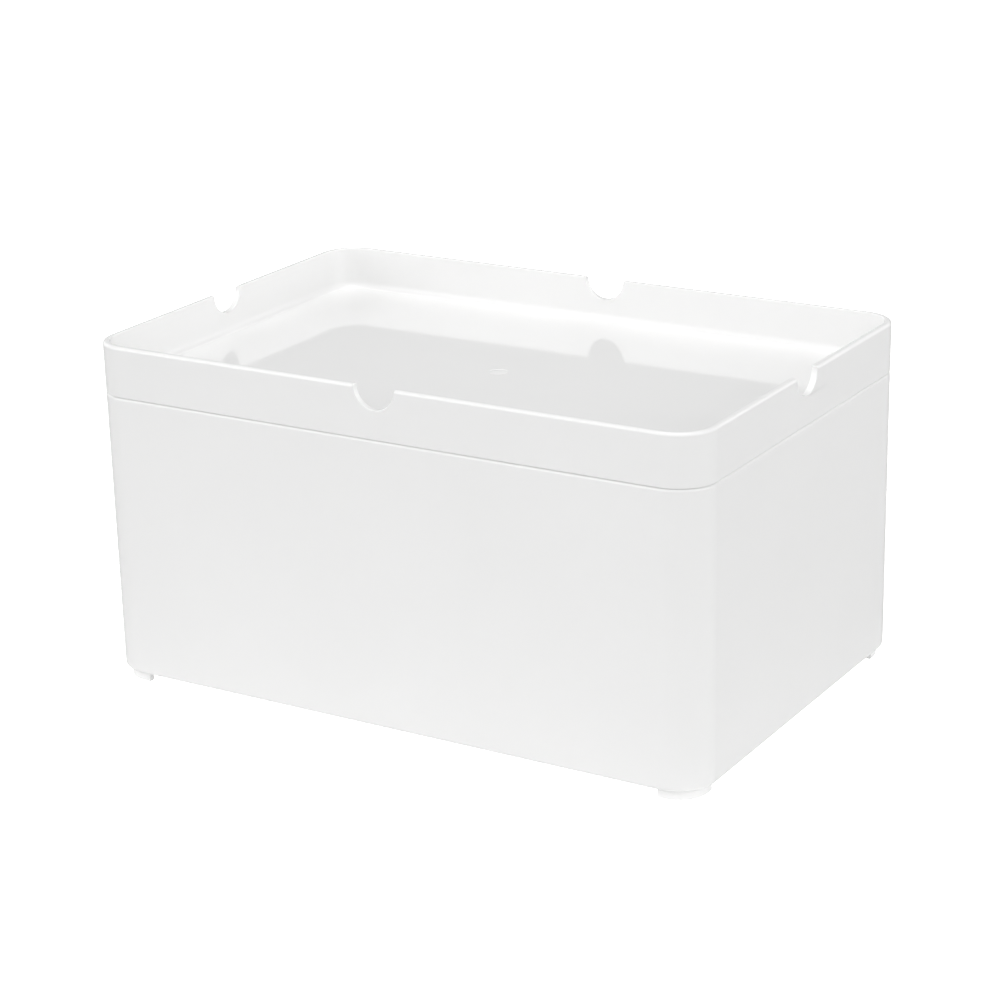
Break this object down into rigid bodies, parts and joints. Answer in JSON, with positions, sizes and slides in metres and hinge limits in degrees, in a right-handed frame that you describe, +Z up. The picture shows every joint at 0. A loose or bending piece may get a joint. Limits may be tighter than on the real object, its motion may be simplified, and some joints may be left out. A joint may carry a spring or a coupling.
{
  "type": "storage box",
  "caption": "Deep rectangular storage bin with a shallow tray standing on its rim; rounded corners, corner feet, and a half-round finger notch in each wall of the tray.",
  "frame": {"origin": "on the ground, under the middle of the box", "axes": "+Z up, +X along the long side, +Y along the short side"},
  "size_m": [0.3, 0.2, 0.158],
  "materials": {
    "white_plastic": "high gloss, opaque"
  },
  "bodies": {
    "bin": {"bin": "white_plastic"},
    "tray": {"tray": "white_plastic"}
  },
  "joints": [
    {"name": "tray_lift", "type": "slide", "parent": "bin", "child": "tray", "axis": [0, 0, 1], "range_m": [0, 0.2]}
  ]
}
